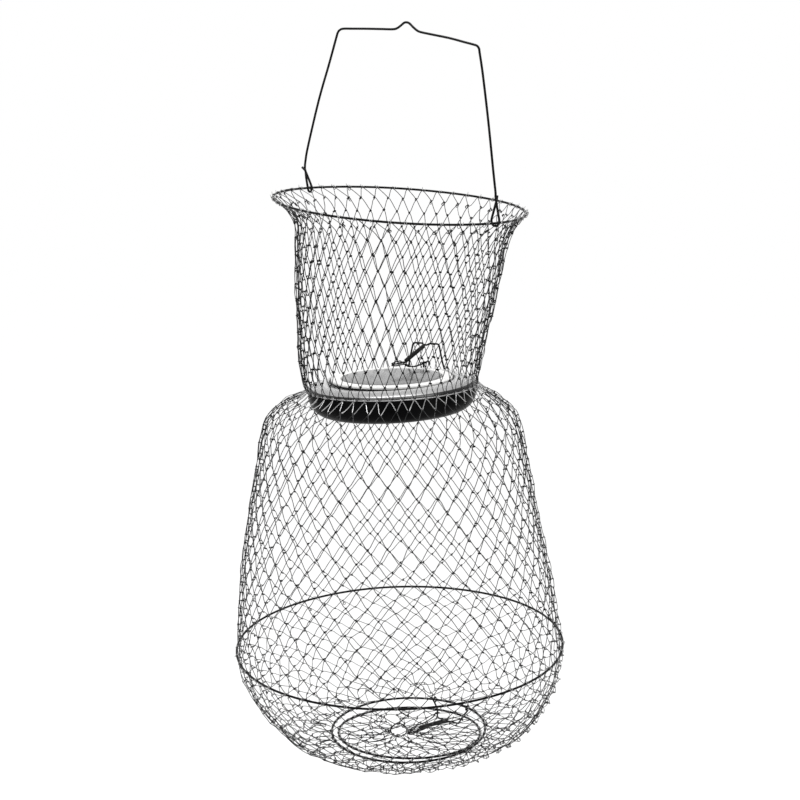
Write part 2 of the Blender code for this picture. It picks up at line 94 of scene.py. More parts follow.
def sweep(bm, path, radius, sides=8, closed=False, finish=0):
    """Add a round wire along path to bm. radius is a number or one number for each point."""
    count = len(path)
    rows = []
    across = None
    for index, point in enumerate(path):
        before = path[index - 1] if index or closed else point
        after = path[(index + 1) % count] if index < count - 1 or closed else point
        along = (after - before).normalized()
        if across is None:
            across = along.orthogonal().normalized()
        across = (across - along * across.dot(along)).normalized()
        other = along.cross(across)
        thick = radius[index] if isinstance(radius, (list, tuple)) else radius
        angles = [2 * math.pi * side / sides for side in range(sides)]
        spokes = [math.cos(a) * across + math.sin(a) * other for a in angles]
        rows.append([bm.verts.new(point + thick * spoke) for spoke in spokes])
    for index in range(count if closed else count - 1):
        first, second = rows[index], rows[(index + 1) % count]
        shift = 0
        if closed and index == count - 1:
            gaps = [(first[0].co - vert.co).length for vert in second]
            shift = gaps.index(min(gaps))
        for side in range(sides):
            following = (side + 1) % sides
            corners = (first[side], first[following], second[(following + shift) % sides],
                       second[(side + shift) % sides])
            bm.faces.new(corners).material_index = finish
    if not closed:
        bm.faces.new(list(reversed(rows[0]))).material_index = finish
        bm.faces.new(rows[-1]).material_index = finish


def finish_mesh(name, bm, looks, sharp=50.0):
    """Turn a bmesh into a smooth-shaded object with one finish or several."""
    bmesh.ops.recalc_face_normals(bm, faces=bm.faces)
    mesh = bpy.data.meshes.new(name)
    bm.to_mesh(mesh)
    bm.free()
    for finish in looks if isinstance(looks, tuple) else (looks,):
        mesh.materials.append(finish)
    mesh.shade_smooth()
    mesh.set_sharp_from_angle(angle=math.radians(sharp))
    piece = bpy.data.objects.new(name, mesh)
    bpy.context.scene.collection.objects.link(piece)
    return piece


def wire(name, path, radius, paint, sides=10, closed=False):
    """One bent wire as a piece of its own."""
    bm = bmesh.new()
    sweep(bm, path, radius, sides, closed)
    return finish_mesh(name, bm, paint)


def round_path(matrix, radius, steps=160, wobble=0.0):
    """Points round a ring, with a slight hand-bent wobble."""
    points = []
    for step in range(steps):
        angle = 2 * math.pi * step / steps
        drift = wobble * (math.sin(3 * angle + radius * 90) + 0.6 * math.sin(5 * angle + 1.7))
        reach = radius + drift
        points.append(matrix @ Vector((reach * math.cos(angle), reach * math.sin(angle), 0.5 * drift)))
    return points


def smooth_path(corners, per_span=8):
    """A smooth curve through the corners."""
    points = []
    for index in range(len(corners) - 1):
        p0 = corners[max(index - 1, 0)]
        p1, p2 = corners[index], corners[index + 1]
        p3 = corners[min(index + 2, len(corners) - 1)]
        for step in range(per_span):
            t = step / per_span
            points.append(0.5 * ((2 * p1) + (p2 - p0) * t + (2 * p0 - 5 * p1 + 4 * p2 - p3) * t * t
                                 + (3 * p1 - p0 - 3 * p2 + p3) * t ** 3))
    points.append(corners[-1])
    return points


# %% [markdown]
# The rings and the bail are painted black wire. Paint is never even: a fine noise shifts its gloss,
# and a wide one lets a little dust grey it. The net is thinner, drawn wire that shows a duller metal.
# The float is black. Its top is coloured grey under a clear gloss, a painted reflection of the pale
# surroundings on the glossy black, and its rolled edge and side keep the black.

# %% Materials


def look(name, dark, pale, rough, metallic=0.0, scale=60.0, bump=0.05, shine=0.5):
    """A procedural finish: two tones mixed by a wide noise, gloss broken up by a fine one."""
    made = bpy.data.materials.new(name)
    made.use_nodes = True
    nodes, links = made.node_tree.nodes, made.node_tree.links
    shader = nodes["Principled BSDF"]
    shader.inputs["Metallic"].default_value = metallic
    shader.inputs["Specular IOR Level"].default_value = shine
    place = nodes.new("ShaderNodeTexCoord")
    wide, fine = nodes.new("ShaderNodeTexNoise"), nodes.new("ShaderNodeTexNoise")
    wide.inputs["Scale"].default_value = scale
    wide.inputs["Detail"].default_value = 5.0
    fine.inputs["Scale"].default_value = scale * 9
    fine.inputs["Detail"].default_value = 3.0
    for texture in (wide, fine):
        links.new(place.outputs["Object"], texture.inputs["Vector"])
    ramp = nodes.new("ShaderNodeValToRGB")
    ramp.color_ramp.elements[0].position = 0.5
    ramp.color_ramp.elements[1].position = 0.75
    ramp.color_ramp.elements[0].color = (*dark, 1.0)
    ramp.color_ramp.elements[1].color = (*pale, 1.0)
    links.new(wide.outputs["Fac"], ramp.inputs["Fac"])
    links.new(ramp.outputs["Color"], shader.inputs["Base Color"])
    gloss = nodes.new("ShaderNodeMapRange")
    gloss.inputs["To Min"].default_value = rough * 0.75
    gloss.inputs["To Max"].default_value = rough * 1.3
    links.new(fine.outputs["Fac"], gloss.inputs["Value"])
    links.new(gloss.outputs["Result"], shader.inputs["Roughness"])
    relief = nodes.new("ShaderNodeBump")
    relief.inputs["Strength"].default_value = bump
    relief.inputs["Distance"].default_value = 0.0004
    links.new(fine.outputs["Fac"], relief.inputs["Height"])
    links.new(relief.outputs["Normal"], shader.inputs["Normal"])
    return made


PAINTED = look("painted_wire", (0.001, 0.001, 0.0012), (0.006, 0.006, 0.006), 0.36, shine=0.10)
STRANDS = look("net_strand", (0.026, 0.026, 0.027), (0.065, 0.065, 0.066), 0.30,
               metallic=0.9, scale=30.0, shine=0.4)
KNOTS = look("net_knot", (0.0008, 0.0008, 0.0009), (0.004, 0.004, 0.004), 0.42, scale=30.0, shine=0.12)
# The pale tie finish also paints a glint on the net's top strand row, where it crosses the float.
TIE_WIRE_AND_GLINT = look("tie_wire_and_glint", (0.42, 0.42, 0.42), (0.60, 0.60, 0.60), 0.30, metallic=0.9, scale=30.0)
STEEL = look("spring_steel", (0.02, 0.02, 0.02), (0.06, 0.06, 0.06), 0.30, metallic=0.8, scale=80.0)
# The float top's grey is a painted reflection of the pale surroundings on its glossy black.
FLOAT_TOP_PAINTED_REFLECTION = look("float_top", (0.24, 0.24, 0.24), (0.31, 0.31, 0.31), 0.20, scale=14.0, bump=0.02, shine=1.0)
FLOAT_BLACK = (0.002, 0.002, 0.0022), (0.008, 0.008, 0.008)
FLOAT_SIDE = look("float_side", *FLOAT_BLACK, 0.30, scale=14.0, bump=0.02, shine=0.02)
FLOAT_SHOULDER = look("float_shoulder", *FLOAT_BLACK, 0.22, scale=14.0, bump=0.02, shine=0.3)
LID_WHITE = look("lid_white", (0.80, 0.80, 0.79), (0.88, 0.88, 0.87), 0.45, scale=25.0, bump=0.02)
LID_GREY = look("lid_grey", (0.13, 0.13, 0.13), (0.19, 0.19, 0.19), 0.18, scale=18.0, bump=0.02)
gloss_coat = FLOAT_TOP_PAINTED_REFLECTION.node_tree.nodes["Principled BSDF"].inputs
gloss_coat["Coat Weight"].default_value = 1.0
gloss_coat["Coat IOR"].default_value = 1.8
gloss_coat["Coat Roughness"].default_value = 0.16
print("finishes:", len(bpy.data.materials))

# %% [markdown]
# The bail is one wire. Its crown is nearly flat with a small hump, where the basket hangs from a hook.
# At each end the wire is bent into a three-cornered eye round the mouth ring.

# %% Bail
BAIL_R = 0.00165
bail_frame = (Matrix.Translation((0.00385, -0.0175, -0.25024)) @ Matrix.Rotation(math.radians(-4.0), 4, "X")
              @ Matrix.Rotation(math.radians(2.664), 4, "Y"))


def flat_mm(*pairs):
    """Points of the bail's own plane, in millimetres."""
    return [Vector((x, 0.0, z)) * 0.001 for x, z in pairs]


def eye_mm(*corners):
    """Corners of an eye: along the bail, up from the ring, and forward or back along the ring."""
    return [Vector((x, y, z)) * 0.001 for x, z, y in corners]


left_leg = flat_mm((-191.7, 62.0), (-176.0, 130.0), (-160.6, 181.5), (-150.0, 219.0), (-147.4, 227.0),
                   (-143.0, 231.3), (-136.0, 233.2), (-120.0, 234.4), (-91.9, 236.4), (-62.0, 238.2),
                   (-42.0, 239.4))
hump = flat_mm((-34.0, 241.0), (-27.0, 245.0), (-20.5, 249.6), (-15.5, 250.6), (-10.5, 249.6),
               (-3.0, 245.2), (4.0, 241.6), (12.0, 239.6))
right_leg = flat_mm((36.0, 237.8), (64.3, 235.8), (92.0, 232.6), (108.0, 230.8), (114.5, 229.6),
                    (118.4, 226.4), (120.2, 221.0), (129.3, 193.0), (146.1, 133.7), (162.8, 69.4),
                    (169.6, 44.0))
left_eye = eye_mm((-192.4, 40.0, -2.5), (-191.6, 29.9, -3.4), (-189.4, 25.8, -3.9), (-185.6, 16.0, -5.1),
                  (-181.0, 7.4, -6.5), (-178.9, 2.6, -6.9), (-177.0, -0.8, -7.2), (-174.2, -2.2, -7.4),
                  (-171.4, -1.2, -7.5), (-170.4, 2.6, -7.3), (-171.6, 6.4, -7.0), (-179.8, 17.6, -6.9),
                  (-186.3, 26.4, -7.2), (-190.2, 28.8, -6.8), (-194.0, 30.6, -6.5))
right_eye = eye_mm((171.0, 36.0, 0.0), (177.2, 20.0, -0.9), (181.9, 8.4, -1.6), (182.0, 4.4, -1.8),
                   (179.4, 0.6, -2.0), (175.8, -0.2, -2.0), (172.2, 0.6, -2.0), (169.2, 4.4, -1.8),
                   (168.7, 8.4, -1.5), (169.5, 20.0, 0.6), (170.3, 33.0, 3.0), (170.4, 39.5, 3.4))
bail_path = list(reversed(left_eye)) + left_leg + hump + right_leg + right_eye
bail = wire("bail", [bail_frame @ p for p in smooth_path(bail_path, 6)], BAIL_R, PAINTED, sides=12)
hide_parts("bail_handle")
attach(bail, "bail")
print("bail faces:", len(bail.data.polygons))

# %% [markdown]
# Each ring is a closed hoop of wire, butt-welded, so a small lump shows where its ends meet.
# The seat ring lies a little lower than its tier, in the recess of the float's top.

# %% Rings


def ring_piece(name, matrix, radius, node, body, thick=WIRE, weld_at=200.0):
    """A closed hoop with its weld at an angle in degrees."""
    path = round_path(matrix, radius, wobble=0.0004)
    lump = [thick * (1.0 + 0.28 * math.exp(-((step / len(path) * 360 - weld_at) / 1.6) ** 2))
            for step in range(len(path))]
    piece = wire(name, path, lump, PAINTED, sides=12, closed=True)
    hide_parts(node)
    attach(piece, body)
    return piece


ring_piece("mouth_hoop", mouth, MOUTH_R, "mouth_ring", "mouth")
ring_piece("belly_hoop_wire", hoop, HOOP_R, "belly_hoop", "hoop", weld_at=30.0)
ring_piece("bottom_hoop", bottom, BOTTOM_R, "bottom_ring", "bottom", weld_at=250.0)
ring_piece("door_hoop", door, DOOR_R, "door_ring", "door", weld_at=260.0)
ring_piece("seat_hoop", rolled_seat @ Matrix.Translation((0, 0, -0.0022)), SEAT_R, "seat_ring", "float",
           thick=SEAT_WIRE, weld_at=330.0)
print("rings: 5")

# %% [markdown]
# The float is a moulded ring in two halves. A lathe shape suits it: one outline turned round the axis.
# The seam stays open as a fine dark line. The upper half has two finishes, which meet at the radius band:
# inside it a grey that paints the reflection of the pale surroundings on the black top, outside it the black.

# %% Float


def turned(name, matrix, outline, look_used, steps=128, band=1.0):
    """Spin a closed outline of (radius, height) in millimetres round the matrix's Z. Faces beyond band get
    the second finish."""
    bm = bmesh.new()
    verts = [bm.verts.new((radius * 0.001, 0.0, height * 0.001)) for radius, height in outline]
    edges = [bm.edges.new((verts[i], verts[(i + 1) % len(verts)])) for i in range(len(verts))]
    bmesh.ops.spin(bm, geom=verts + edges, cent=(0, 0, 0), axis=(0, 0, 1), angle=2 * math.pi, steps=steps,
                   use_merge=True)
    bmesh.ops.remove_doubles(bm, verts=bm.verts, dist=1e-6)
    for face in bm.faces:
        middle = face.calc_center_median()
        face.material_index = int(math.hypot(middle.x, middle.y) > band)
    bmesh.ops.transform(bm, matrix=matrix, verts=bm.verts)
    return finish_mesh(name, bm, look_used, sharp=35.0)


def curve_outline(points, per_span=4):
    """Round a list of (radius, height) corners into a smooth run."""
    path = smooth_path([Vector((r, 0.0, h)) for r, h in points], per_span)
    return [(p.x, p.z) for p in path]


upper_run = curve_outline([(90.6, 9.4), (91.6, 10.2), (95.0, 10.3), (100.0, 10.1), (104.5, 9.5),
                           (108.0, 8.4), (111.0, 7.0), (114.0, 5.3), (117.0, 3.3), (119.2, 1.3),
                           (119.8, 0.35)])
lower_run = curve_outline([(120.0, -0.35), (120.2, -5.0), (119.4, -13.0), (116.8, -21.0), (111.5, -28.0),
                           (104.0, -33.0), (95.0, -35.3), (87.0, -34.6), (81.0, -31.0), (78.2, -26.0)])
upper_outline = [(78.0, 0.2), (78.0, 6.4), (90.2, 6.4)] + upper_run + [(118.4, 0.2)]
lower_outline = [(118.4, -0.2)] + lower_run + [(78.0, -0.2)]
# Inside the band the top takes the grey painted reflection, outside it the black shoulder.
float_top = turned("float_top", float_tier, upper_outline, (FLOAT_TOP_PAINTED_REFLECTION, FLOAT_SHOULDER), band=0.1145)
float_base = turned("float_base", float_tier, lower_outline, FLOAT_SIDE)
for piece, node, finish in ((float_top, "float_upper", "float_top_grey"),
                            (float_base, "float_lower", "float_black")):
    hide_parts(node)
    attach(piece, "float")
print("float faces:", len(float_top.data.polygons) + len(float_base.data.polygons))

# %% [markdown]
# The lid is a pale, rounded rim round a grey panel that is very slightly crowned, so water runs off it.
# Both are lathe shapes too, on the seat's rolled plane.

# %% Lid
lid_tier = rolled_seat @ Matrix.Translation((0, 0, -0.0005))
rim_run = curve_outline([(72.4, 1.8), (74.0, 3.2), (78.6, 3.7), (83.4, 3.2), (86.0, 2.0), (86.6, 0.4),
                         (86.5, -0.9), (85.6, -1.6), (82.0, -1.8)], 3)
lid_rim = turned("lid_rim_band", lid_tier, rim_run + [(74.0, -1.8), (72.4, 0.0)], LID_WHITE)
crown = curve_outline([(71.8, 3.3), (65.0, 4.3), (48.0, 5.3), (20.0, 5.9), (0.01, 6.0)], 3)
panel = turned("lid_disc", lid_tier, [(0.01, 0.3), (71.9, 0.3), (72.1, 2.2)] + crown, LID_GREY)
for piece, node, finish in ((lid_rim, "lid_rim", "lid_rim_white"), (panel, "lid_panel", "lid_panel_grey")):
    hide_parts(node)
    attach(piece, "lid")
print("lid faces:", len(lid_rim.data.polygons) + len(panel.data.polygons))

# %% [markdown]
# Both grips work alike. A fixed arch stands on the ring, and a wound spring between arch and lever keeps
# the lid or the door shut. Squeezing arch and lever together opens it. The bottom door's lever is hooked
# round the arch's legs, and the lid's ends in one small hook in the middle, near the seat ring.
# In a grip's own frame X runs inward from the ring, Y along the ring and Z away from the basket.

# %% Grip helpers
GRIP_WIRE = 0.0013
LEVER_WIRE = 0.0009
SPRING_WIRE = 0.00064


def grip_frame(matrix, radius, side, up):
    """The frame of a grip on a ring, above it or below it."""
    flip = Matrix.Diagonal((-1.0, -1.0, 1.0, 1.0)) if up else Matrix.Diagonal((-1.0, 1.0, -1.0, 1.0))
    turn = Matrix.Rotation(math.radians(side), 4, "Z")
    return matrix @ turn @ Matrix.Translation((radius, 0, 0)) @ flip


def both_sides(half):
    """Half a path and its mirror image on the other side of the grip."""
    return half + [Vector((p.x, -p.y, p.z)) for p in reversed(half)]


def mm(*corners):
    """Corners given in millimetres."""
    return [Vector(corner) * 0.001 for corner in corners]


def bend_corners(corners, radius, steps=6):
    """Round each inner corner of a wire's path with an arc."""
    path = [corners[0]]
    for before, corner, after in zip(corners, corners[1:], corners[2:]):
        to_before, to_after = (before - corner), (after - corner)
        half = to_before.angle(to_after) / 2
        reach = min(radius / math.tan(half), 0.45 * to_before.length, 0.45 * to_after.length)
        inward = (to_before.normalized() + to_after.normalized()).normalized()
        middle = corner + inward * (reach / math.cos(half))
        start = corner + to_before.normalized() * reach - middle
        end = corner + to_after.normalized() * reach - middle
        axis = start.cross(end).normalized()
        turn = start.angle(end)
        path += [middle + Matrix.Rotation(turn * step / steps, 3, axis) @ start for step in range(steps + 1)]
    path.append(corners[-1])
    return path


def coil(name, matrix, start, end, radius, thick, curls, look_used, steps=10):
    """A wound spring whose ends run in to its own axis."""
    along = (end - start).normalized()
    across = along.orthogonal().normalized()
    other = along.cross(across)
    leg = 2 * thick
    length = (end - start).length - 2 * leg
    path = [start]
    total = curls * steps
    for step in range(total + 1):
        grow = min(1.0, 2.0 * step / steps, 2.0 * (total - step) / steps)
        angle = 2 * math.pi * step / steps
        centre = start + along * (leg + length * step / total)
        path.append(centre + radius * grow * (math.cos(angle) * across + math.sin(angle) * other))
    path.append(end)
    return wire(name, [matrix @ p for p in path], thick, look_used, sides=5)


lid_grip = grip_frame(seat, SEAT_R, 95.5, True)
door_grip = grip_frame(bottom, BOTTOM_R, 97.0, False)
print("grips at", [round(v, 3) for v in lid_grip.translation], [round(v, 3) for v in door_grip.translation])

# %% [markdown]
# An arch is one wire with rounded bends and a notch in its top, which holds the spring. Half of it is
# drawn and then mirrored. The door arch's feet take a turn round the bottom ring. A spring is a helix
# whose two ends run in to its own axis.

# %% Arches and springs
lid_arch_path = both_sides(mm((6.4, 33.0, 1.6), (6.7, 30.0, 12.0), (4.5, 23.5, 38.0), (4.5, 6.2, 38.0),
                              (7, 3.9, 36)))
lid_arch_bent = bend_corners(lid_arch_path, 0.0045)
lid_arch = wire("lid_arch_wire", [lid_grip @ p for p in lid_arch_bent], GRIP_WIRE, PAINTED)


def foot_wrap(side):
    """The door arch's foot takes a turn round the bottom ring."""
    foot, ring = 28.7, 114.5
    up = Vector((0, 0, 1))
    angle = math.asin(foot / ring)
    way = Vector((math.sin(angle), side * math.cos(angle), 0.0))
    out = Vector((-math.cos(angle), side * math.sin(angle), 0.0))
    points = []
    for step in range(15):
        turn = 2 * math.pi * 1.1 * step / 14
        spoke = math.cos(turn) * up - math.sin(turn) * out
        points.append(Vector((3.66, side * foot, 0.0)) + 3.3 * spoke + way * (0.24 * (14 - step)))
    return [point * 0.001 for point in points]


door_arch_half = mm((6.7, 23.8, 14.0), (13, 20.0, 25.0), (13, 6.2, 25.0), (16, 3.9, 24))
door_arch_path = both_sides(bend_corners([foot_wrap(1)[0]] + door_arch_half, 0.0045))
door_arch_path = list(reversed(foot_wrap(1)))[:-1] + door_arch_path + foot_wrap(-1)[1:]
door_arch = wire("door_arch_wire", [door_grip @ p for p in door_arch_path], GRIP_WIRE, PAINTED)
lid_spring_ends = mm((8.5, 0, 35.5), (55.4, 0, 19.4))
door_spring_ends = mm((17.6, 0, 22.8), (87.0, 0, 8.6))
lid_spring = coil("lid_coil", lid_grip, *lid_spring_ends, 0.0025, SPRING_WIRE, 34, STEEL)
door_spring = coil("door_coil", door_grip, *door_spring_ends, 0.0027, SPRING_WIRE, 48, STEEL)
print("spring faces:", len(lid_spring.data.polygons), len(door_spring.data.polygons))

# %% [markdown]
# A lever is one wire too: a strand from its hook, a loop of one and a half turns for a finger, and the
# same strand back.

# %% Levers


def finger_loop(front, drop):
    """One and a half turns of wire, in millimetres, for a finger to pull on."""
    back = front + 18.0
    loop = [Vector((front, 4.5, drop - 2.1))]
    for half_turn in range(3):
        way = 1 if half_turn % 2 == 0 else -1
        for step in range(13):
            angle = math.pi * step / 12
            rise = 2.4 * (half_turn + 0.3 + 0.4 * step / 12 - 1.5) / 2
            centre = back if way > 0 else front
            reach = way * 4.5 * math.sin(angle)
            loop.append(Vector((centre + reach, way * 4.5 * math.cos(angle), drop + rise)))
    return loop + [Vector((front, -4.5, drop + 2.1))]


def lever_path(half, front, drop):
    """One strand, the finger loop, and the other strand."""
    other = [Vector((p.x, -p.y, p.z)) for p in reversed(half)]
    return smooth_path([p * 0.001 for p in half + finger_loop(front, drop) + other], 2)


def door_strand(eye_at, leg, low_run, low_drop, front, loop_drop):
    """From the eye round the arch's leg towards the loop."""
    leg_way = leg.normalized()
    inward = (Vector((1, 0, 0)) - leg_way * leg_way.x).normalized()
    sideways = leg_way.cross(inward)
    half = []
    for step in range(13):
        angle = math.radians(300 - 297 * step / 12)
        half.append(eye_at + 3.2 * (math.cos(angle) * inward - math.sin(angle) * sideways))
    return half + [Vector((0.5 * (half[-1].x + low_run), 0.86 * eye_at.y, low_drop + 0.2)),
                   Vector((low_run, 0.72 * eye_at.y, low_drop)),
                   Vector((0.5 * (low_run + front), 0.40 * eye_at.y, 0.5 * (low_drop + loop_drop)))]


hook_strand = [Vector(corner) for corner in (
    (-0.6, 1.0, 5.4), (-1.1, 1.0, 8.4), (0.8, 1.0, 10.9), (5.0, 1.0, 10.9), (11.0, 1.0, 10.1),
    (28.0, 1.1, 8.6), (40.0, 1.6, 9.2), (50.0, 2.8, 12.0))]
lid_lever_path = [lid_grip @ p for p in lever_path(hook_strand, 61.0, 18.6)]
lid_lever = wire("lid_lever_wire", lid_lever_path, LEVER_WIRE, PAINTED, sides=8)
door_half = door_strand(Vector((9.4, 22.2, 18.7)), Vector((6.3, -3.8, 11.0)), 30.0, 16.5, 91.5, 7.5)
door_lever_path = [door_grip @ p for p in lever_path(door_half, 91.5, 7.5)]
door_lever = wire("door_lever_wire", door_lever_path, LEVER_WIRE, PAINTED, sides=8)

for piece, node, body in ((lid_arch, "lid_arch", "float"), (door_arch, "door_arch", "bottom"),
                          (lid_lever, "lid_lever", "lid"), (door_lever, "door_lever", "door")):
    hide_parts(node)
    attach(piece, body)
for piece, node, bodies, matrix, ends in (
        (lid_spring, "lid_spring", ("float", "lid"), lid_grip, lid_spring_ends),
        (door_spring, "door_spring", ("bottom", "door"), door_grip, door_spring_ends)):
    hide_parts(node)
    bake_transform(piece)
print("lever faces:", len(lid_lever.data.polygons), len(door_lever.data.polygons))

# %% [markdown]
# Two small staples hold the lid to its lever.

# %% Clips
CLIP_SIDE, CLIP_LOW, CLIP_HIGH = 2.7, 3.5, 11.7
for reach, node in ((10.4, "lid_clip_left"), (15.6, "lid_clip_right")):
    corners = ((-CLIP_SIDE, CLIP_LOW), (-CLIP_SIDE, CLIP_HIGH), (CLIP_SIDE, CLIP_HIGH), (CLIP_SIDE, CLIP_LOW))
    staple = bend_corners([Vector((reach, side, height)) for side, height in corners], 1.2)
    clip = wire(node + "_wire", [lid_grip @ (p * 0.001) for p in staple], 0.0007, PAINTED, sides=8)
    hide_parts(node)
    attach(clip, "lid")
    print(node, "faces:", len(clip.data.polygons))

# %% [markdown]
# The net is the heart of the basket. It is a diamond mesh: every knot joins two wires from above
# and two from below. Rows of knots are offset by half a mesh, and the rows keep an even spacing
# along the net's own slope, as a real net does. A seeded random shift makes it look hand-knotted.
# These helpers find where a point of the net lies.

# %% Net surface


def outline_radius(outline, height):
    """Radius of the net at a height, along a smooth curve through (height, radius) pairs."""
    for index in range(len(outline) - 1):
        (h1, r1), (h2, r2) = outline[index], outline[index + 1]
        if height <= h2 or index == len(outline) - 2:
            t = (height - h1) / (h2 - h1)
            h0, r0 = outline[max(index - 1, 0)]
            h3, r3 = outline[min(index + 2, len(outline) - 1)]
            m1 = (r2 - r0) / (h2 - h0) * (h2 - h1)
            m2 = (r3 - r1) / (h3 - h1) * (h2 - h1)
            return ((2 * t ** 3 - 3 * t * t + 1) * r1 + (t ** 3 - 2 * t * t + t) * m1
                    + (-2 * t ** 3 + 3 * t * t) * r2 + (t ** 3 - t * t) * m2)


def knot_rows(net, rows):
    """Heights of the knot rows. They're spaced along the slope by the net's own pitch."""
    outline = net["outline"]
    steps = 400
    last = outline[-1][0]
    run = [0.0]
    for step in range(steps):
        low, high = last * step / steps, last * (step + 1) / steps
        slope = math.hypot(high - low, outline_radius(outline, high) - outline_radius(outline, low))
        run.append(run[-1] + slope / along_list(net["pitch"], (step + 0.5) / steps))
    heights = []
    for row in range(rows + 1):
        wanted = run[-1] * row / rows
        step = next(i for i in range(steps + 1) if run[i] >= wanted - 1e-12)
        heights.append(last * step / steps)
    return heights


def along_list(pairs, part):
    """A value between (part, value) pairs, eased at each of them."""
    for (p1, v1), (p2, v2) in zip(pairs, pairs[1:]):
        if part <= p2:
            ease = (part - p1) / (p2 - p1)
            return v1 + (v2 - v1) * ease * ease * (3 - 2 * ease)
    return pairs[-1][1]


def skin_point(net, angle, height, lift=0.0):
    """A point on a net: angle in radians, height in millimetres below the upper ring, lift outward."""
    outline = net["outline"]
    part = height / outline[-1][0]
    slope = outline_radius(outline, height + 1.0) - outline_radius(outline, max(height - 1.0, 0.0))
    tilt = Vector((2.0, slope)).normalized() * lift
    radius = (outline_radius(outline, height) + tilt.x) * 0.001
    flat = Vector((radius * math.cos(angle), radius * math.sin(angle), tilt.y * 0.001))
    level = 1.0 - along_list(net["level"], part)
    spread = (net["upper"].to_3x3() @ flat) * level + (net["lower"].to_3x3() @ flat) * (1.0 - level)
    centre = net["upper"].translation.lerp(net["lower"].translation, part)
    sag = Vector((0.0, 0.0, -0.001 * along_list(net["sag"], part)))
    return centre + spread + sag + RIGHT * (0.001 * along_list(net["bow"], part))


# %% [markdown]
# A knot is a short coil of wire that stands across the net. Here and there a wire's cut end rolls up
# under it.

# %% Knots
STRAND = 0.00053
KNOT_HALF = 0.0026
KNOT_R = 0.00108
KNOT_WIRE = 0.00078


def knot(bm, inner, outer, side, rng, size=0.75):
    """A short coil of wire where four strands meet, from the net's inside to its outside."""
    along = outer - inner
    side = (side - along * (side.dot(along) / along.length_squared)).normalized()
    rise = along.normalized().cross(side)
    start = rng.uniform(0, 2 * math.pi)
    reach = KNOT_R * size * rng.uniform(0.85, 1.1)
    path = []
    for step in range(10):
        angle = start + 2 * math.pi * 1.8 * step / 9
        path.append(inner + along * (step / 9) + reach * (math.cos(angle) * side + math.sin(angle) * rise))
    sweep(bm, path, KNOT_WIRE * size, sides=4, finish=1)


def cut_end_curl(bm, net, angle, height, rng):
    """A wire's cut end, rolled up into a small loop under its knot."""
    size = rng.uniform(1.5, 2.1)
    lean = rng.uniform(-1.5, 1.5)
    radius = outline_radius(net["outline"], height)
    path = []
    for step in range(13):
        turn = 2 * math.pi * (1.35 * step / 12 - 0.25)
        across = lean + size * math.cos(turn)
        path.append(skin_point(net, angle + across / radius, height + size + 1.5 + size * math.sin(turn),
                               -1.5 - 1.4 * step / 12))
    sweep(bm, path, STRAND, sides=4)


# %% [markdown]
# The strands cross at the knots in two layers, so that they lie over each other as woven wire does.

# %% Weaving


def knotted_net(name, net, rows, seed, jitter, phase=0.0):
    """Knots and strands between two tiers as one mesh. The strands that lean one way join the knots' outer
    ends, the others their inner ends. Each leaves its knots sideways, which rounds the meshes."""
    rng = random.Random(seed)
    heights = knot_rows(net, rows)
    meshes = net["meshes"]
    last = net["outline"][-1][0]
    bm = bmesh.new()
    grid = []
    for row, height in enumerate(heights):
        points = []
        for cell in range(meshes):
            angle = phase + 2 * math.pi * (cell + 0.5 * (row % 2)) / meshes
            inside = 0 < row < rows
            radius = outline_radius(net["outline"], height) * 0.001
            if inside:
                angle += rng.gauss(0, jitter) / radius
            shift = rng.gauss(0, jitter) * 1000 if inside else 0.0
            pucker = rng.gauss(0, net["pucker"]) if inside else 0.0
            points.append((angle, min(max(height + shift, 0.0), last), pucker))
        grid.append(points)
    for row in range(rows + 1):
        for cell in range(meshes):
            angle, height, pucker = grid[row][cell]
            if 0 < row < rows:
                half = KNOT_HALF * 1000 * rng.uniform(0.85, 1.1)
                inner, outer = (skin_point(net, angle, height, pucker + way * half) for way in (-1, 1))
                knot(bm, inner, outer, Vector((-math.sin(angle), math.cos(angle), 0.0)), rng, net["knots"])
                if row == 1 and rng.random() < net["curls"]:
                    cut_end_curl(bm, net, angle, height, rng)
            if row == rows:
                continue
            for step in (0, 1):
                goal = grid[row + 1][(cell + step - (row + 1) % 2) % meshes]
                turned_by = round((angle - goal[0]) / (2 * math.pi)) * 2 * math.pi
                layer = 2.0 if step else -2.0
                begin = (angle, height, pucker + (layer if row else 0.0))
                end = (goal[0] + turned_by, goal[1], goal[2] + (layer if row + 1 < rows else 0.0))
                bow = rng.gauss(0, 0.35)
                path = []
                for part in (0.0, 0.2, 0.5, 0.8, 1.0):
                    curve = 0.028 * math.sin(2 * math.pi * part)
                    parts = (part + curve, part - curve, part)
                    mixed = [a + (b - a) * share for a, b, share in zip(begin, end, parts)]
                    mixed[2] += bow * math.sin(math.pi * part) * 2
                    path.append(skin_point(net, *mixed))
                # On the first rows the strands take the pale tie finish, a painted glint where the wire
                # crosses the float.
                painted_glint = row < net["painted_glint"]
                sweep(bm, path, STRAND * (1.15 if painted_glint else 1.0), sides=4, finish=2 if painted_glint else 0)
    return finish_mesh(name, bm, (STRANDS, KNOTS, TIE_WIRE_AND_GLINT), sharp=70.0)
